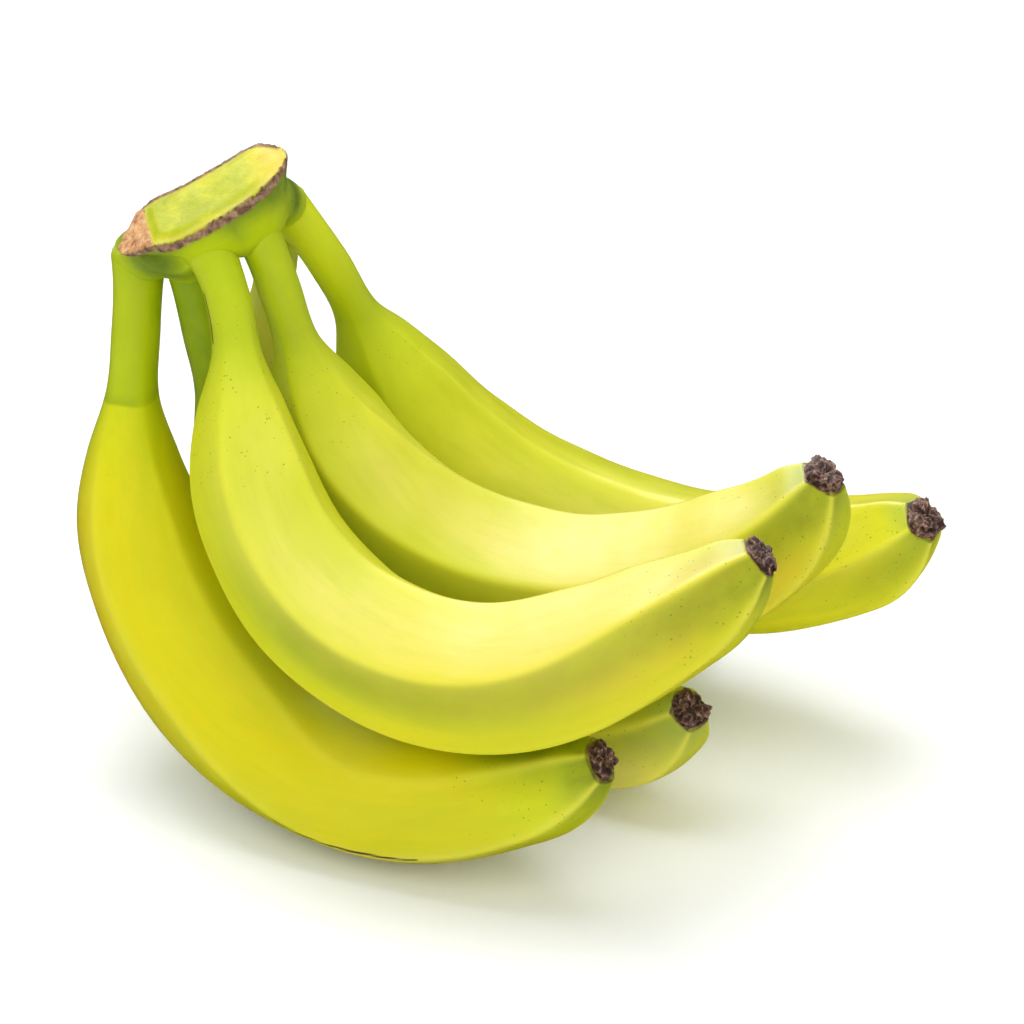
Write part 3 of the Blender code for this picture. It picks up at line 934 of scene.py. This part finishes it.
def add_loft(mesh, rings):
    """A closed body through rings of points in mm."""
    rows = [[mesh.verts.new(point * MM) for point in ring] for ring in rings]
    count = len(rows[0])
    for low, high in zip(rows, rows[1:]):
        for k in range(count):
            j = (k + 1) % count
            mesh.faces.new((low[k], low[j], high[j], high[k]))
    mesh.faces.new(rows[0])
    mesh.faces.new(rows[-1])


def grow_together(item, size, smoothing):
    """Joins what overlaps in cells of one size, and eases the steps that this leaves."""
    grow = item.modifiers.new("grown together", "REMESH")
    grow.mode = "VOXEL"
    grow.voxel_size = size * MM
    soften = item.modifiers.new("eased", "SMOOTH")
    soften.factor = 0.5
    soften.iterations = smoothing
    shape = item.evaluated_get(bpy.context.evaluated_depsgraph_get())
    data = bpy.data.meshes.new_from_object(shape)
    item.modifiers.clear()
    item.data = data


def slice_off(item, plane):
    """Cuts away what stands above a plane, and closes the cut."""
    mesh = bmesh.new()
    mesh.from_mesh(item.data)
    found = bmesh.ops.bisect_plane(
        mesh,
        geom=mesh.verts[:] + mesh.edges[:] + mesh.faces[:],
        plane_co=plane.to_translation() * MM,
        plane_no=plane.to_3x3() @ Vector((0, 0, 1)),
        clear_outer=True,
    )
    rim = [edge for edge in found["geom_cut"] if isinstance(edge, bmesh.types.BMEdge)]
    bmesh.ops.holes_fill(mesh, edges=rim, sides=0)
    bmesh.ops.triangulate(mesh, faces=[face for face in mesh.faces if len(face.verts) > 4])
    mesh.to_mesh(item.data)
    mesh.free()


def crown_shape(fingers, matrix, facet):
    """The bar and its stubs grown together, sliced off flat on the two cuts."""
    mesh = bmesh.new()
    add_loft(mesh, [[matrix @ point for point in crown_ring(*level)] for level in CROWN_LEVELS])
    for finger in fingers:
        add_loft(mesh, stub_rings(finger, matrix))
    bmesh.ops.recalc_face_normals(mesh, faces=mesh.faces)
    data = bpy.data.meshes.new("crown_fine")
    mesh.to_mesh(data)
    mesh.free()
    crown = bpy.data.objects.new("crown_fine", data)
    bpy.context.scene.collection.objects.link(crown)
    grow_together(crown, *GROWN)
    slice_off(crown, matrix)
    slice_off(crown, facet)
    grow_together(crown, *CUT)
    return crown


def coordinates(data):
    found = np.zeros(len(data.vertices) * 3, np.float32)
    data.vertices.foreach_get("co", found)
    return found.reshape(-1, 3).astype(float)


def seen_from(points, matrix):
    """Coordinates of points in the frame of a cut, in mm."""
    back = np.array(matrix.inverted())
    return points @ back[:3, :3].T + back[:3, 3]


def insets(points, inside):
    """Distance of each point inside an area from the nearest one outside it, and 0 for those outside."""
    outside = np.nonzero(~inside)[0]
    tree = kdtree.KDTree(len(outside))
    for number, index in enumerate(outside):
        tree.insert(points[index], number)
    tree.balance()
    inset = np.zeros(len(points))
    for index in np.nonzero(inside)[0]:
        inset[index] = tree.find(points[index])[2]
    return inset


def joint_values(fingers, points):
    """How close each point is to a crease above a stalk, and to a stub's lower end."""
    crease = np.zeros(len(points))
    stub = np.zeros(len(points))
    for finger in fingers:
        down = finger.down()
        away = points - finger.root
        length = away @ down
        off = np.linalg.norm(away - length[:, None] * down, axis=1) / finger.neck
        folded = bell(length, CREASE_AT, CREASE_REACH) * (1 - ease(1.15, 1.45, off))
        crease = np.maximum(crease, folded)
        stub = np.maximum(stub, (1 - ease(1.5, 8.0, np.abs(length))) * (1 - ease(1.2, 2.4, off)))
    return crease, stub


def make_crown(fingers):
    matrix = crown_matrix()
    facet = matrix @ Matrix.Translation((FACET_START, 0.0, 0.0))
    facet = facet @ Euler((0.0, -math.radians(FACET_SLOPE), 0.0)).to_matrix().to_4x4()
    crown = crown_shape(fingers, matrix, facet)
    data = crown.data
    points = coordinates(data) / MM
    normals = np.array([v.normal for v in data.vertices])
    on_cut = seen_from(points, matrix)
    on_facet = seen_from(points, facet)
    face = (on_cut[:, 2] > ON_CUT) & (on_facet[:, 2] < OFF_FACET)
    dried = on_facet[:, 2] > ON_CUT
    side = ~(face | dried)
    depth = -np.maximum(on_cut[:, 2], on_facet[:, 2])
    inset = insets(points, face)
    crease, stub = joint_values(fingers, points)
    rough = np.array([noise.fractal(Vector(p) * 0.35, 1.0, 2.0, 4) for p in points])
    waves = np.array([noise.noise(Vector(p) * 0.16) for p in points])
    band = CORK_DEPTH + 0.5 * waves + 0.35 * rough
    collar = np.where(side, 1 - ease(band - 0.4, band + 0.4, depth), 0.0)
    reach = LIP_BREADTH + LIP_BREADER * ease(*LIP_ACROSS, on_cut[:, 1]) + 0.15 * rough
    lip = np.where(face, 1 - ease(reach - 0.15, reach + 0.15, inset), 0.0)
    cork = (collar + lip).clip(0, 1)
    move = CORK_RISE * cork * (0.8 + rough)
    move += FACET_ROUGHNESS * dried * rough
    move += np.where(face, FACE_SWELL * ease(1.2, 4.0, inset) + FACE_WAVES * waves, 0.0)
    move += RIND_ROUGHNESS * rough * side
    move -= CREASE_DEPTH * crease * side
    points += normals * move[:, None]
    data.vertices.foreach_set("co", (points * MM).astype(np.float32).ravel())
    crown_values = {
        "cork": cork,
        "flesh": face * (1 - lip),
        "inset": (inset / INSET_SPAN).clip(0, 1),
        "dried": dried,
        "joint": crease * side,
        "stub": stub,
        "edge": bell(np.where(face, inset, depth), 0.15, 0.3),
        "length": ((on_cut[:, 0] - LOW_END) / CUT_LENGTH).clip(0, 1),
    }
    for key, value in crown_values.items():
        store(data, key, value)
    store_straight(data, on_cut * MM)
    data.shade_smooth()
    data.materials.clear()
    data.materials.append(crown_material())
    dress(crown, "crown_skin", "crown")


def crown_material():
    """Green rind, a moist cut face, and brown cork where the cuts have dried."""
    tree = Tree("crown_rind")
    place = tree.straight()
    cloud = tree.noise(place, 90.0, 4.0, 0.6)
    fine = tree.noise(place, 520.0, 4.0, 0.65)
    fibre = tree.noise(tree.straight((0.35, 1.0, 1.0)), 260.0, 4.0, 0.6)
    rind = tree.mix(tree.between(cloud, 0.3, 0.7), RIND_DARK, RIND_LIGHT)
    rind = tree.mix(tree.value("stub"), rind, STALK_GREEN)
    pale = tree.times(tree.value("joint"), tree.between(fine, 0.4, 0.7))
    rind = tree.mix(pale, rind, CREASE_PALE)
    flesh = tree.mix(tree.between(cloud, 0.40, 0.66), FLESH_GREEN, FLESH_YELLOW)
    flesh = tree.mix(tree.times(tree.between(fibre, 0.45, 0.8), 0.4), flesh, FLESH_FIBRE)
    ripe = tree.times(tree.between(tree.value("length"), 0.80, 1.0), 0.6)
    flesh = tree.mix(ripe, flesh, FLESH_RIPE)
    near_rim = tree.times(tree.between(tree.value("inset"), 0.35, 0.12), 0.4)
    flesh = tree.mix(near_rim, flesh, FLESH_RIM)
    cork = tree.mix(tree.times(tree.value("edge"), 0.8), tree.ramp(fine, CORK), CUT_EDGE)
    colour = tree.mix(tree.value("flesh"), rind, flesh)
    colour = tree.mix(tree.value("cork"), colour, cork)
    colour = tree.mix(tree.value("dried"), colour, tree.ramp(fine, CRUST))
    moist = tree.math("MULTIPLY_ADD", tree.value("flesh"), -0.06, 0.5)
    dry = tree.math("MAXIMUM", tree.value("cork"), tree.value("dried"))
    tree.shade("Base Color", colour)
    tree.shade("Roughness", tree.math("MULTIPLY_ADD", dry, 0.35, moist))
    tree.shade("Specular IOR Level", 0.16)
    tree.glow(0.10, (1.0, 0.9, 0.2), 0.002)
    tree.shade("Normal", tree.bump(fine, 0.5, 0.0004))
    return tree.material


# --- floor, light, camera ---------------------------------------------------------------------------

# The floor, in metres. It lies just below the bunch.
FLOOR_RADIUS = 6.0
FLOOR_GAP = 0.0002
FLOOR_COLOUR = (0.95, 0.965, 1.0, 1.0)
# Lamps: place and breadth in metres, power in watts, and whether they light up the colours and show in
# the shine.
LAMPS = {
    "overhead": ((-0.08, 0.08, 1.25), 0.9, 9.0, True, True),
    "behind": ((-0.20, 0.85, 1.15), 1.6, 40.0, False, True),
    "front": ((-0.15, -1.2, 0.95), 1.3, 8.5, True, False),
}
LAMPS_AIM_AT = (0.0, 0.0, 0.06)
SKY_STRENGTH = 0.66
CAMERA_LOOKS_AT = (SHIFT[0], SHIFT[1], 62.3)
CAMERA_RISE = 28.0
CAMERA_DISTANCE = 0.8  # metres
CAMERA_LENS = 112.5
CAMERA_SENSOR = 36.0


def make_floor():
    mesh = bmesh.new()
    bmesh.ops.create_circle(mesh, cap_ends=True, cap_tris=False, segments=96, radius=FLOOR_RADIUS)
    data = bpy.data.meshes.new("floor")
    mesh.to_mesh(data)
    mesh.free()
    floor = bpy.data.objects.new("floor", data)
    floor.location.z = FLOOR - FLOOR_GAP
    bpy.context.scene.collection.objects.link(floor)
    paper = Tree("pale_floor")
    paper.shade("Base Color", FLOOR_COLOUR)
    paper.shade("Roughness", 0.85)
    paper.shade("Specular IOR Level", 0.1)
    data.materials.append(paper.material)
    floor.visible_glossy = False


def make_lamp(name, place, size, power, diffuse, glossy):
    lamp = bpy.data.lights.new(name, "AREA")
    lamp.shape = "DISK"
    lamp.size = size
    lamp.energy = power
    item = bpy.data.objects.new(name, lamp)
    item.location = place
    way = Vector(LAMPS_AIM_AT) - Vector(place)
    item.rotation_euler = way.to_track_quat("-Z", "Y").to_euler()
    item.visible_diffuse = diffuse
    item.visible_glossy = glossy
    bpy.context.scene.collection.objects.link(item)


def make_camera():
    rise = math.radians(CAMERA_RISE)
    lens = bpy.data.cameras.new("camera")
    lens.lens = CAMERA_LENS
    lens.sensor_width = CAMERA_SENSOR
    item = bpy.data.objects.new("camera", lens)
    back = Vector((0.0, -math.cos(rise), math.sin(rise)))
    item.location = Vector(CAMERA_LOOKS_AT) * MM + CAMERA_DISTANCE * back
    item.rotation_euler = (math.pi / 2 - rise, 0.0, 0.0)
    bpy.context.scene.collection.objects.link(item)
    bpy.context.scene.camera = item


def make_studio():
    """A pale floor, three lamps and a white sky that doesn't show in the shine."""
    make_floor()
    for name, values in LAMPS.items():
        make_lamp(name, *values)
    world = bpy.data.worlds.new("studio")
    bpy.context.scene.world = world
    world.use_nodes = True
    background = world.node_tree.nodes["Background"]
    background.inputs["Color"].default_value = (1.0, 1.0, 1.0, 1.0)
    background.inputs["Strength"].default_value = SKY_STRENGTH
    world.cycles_visibility.glossy = False
    bpy.context.scene.view_settings.view_transform = "Standard"
    make_camera()


def main():
    fingers = [Finger(name, values) for name, values in FINGERS.items()]
    dried = blossom_material()
    for finger in fingers:
        make_banana(finger)
        make_blossom(finger, dried)
    make_crown(fingers)
    make_studio()


main()
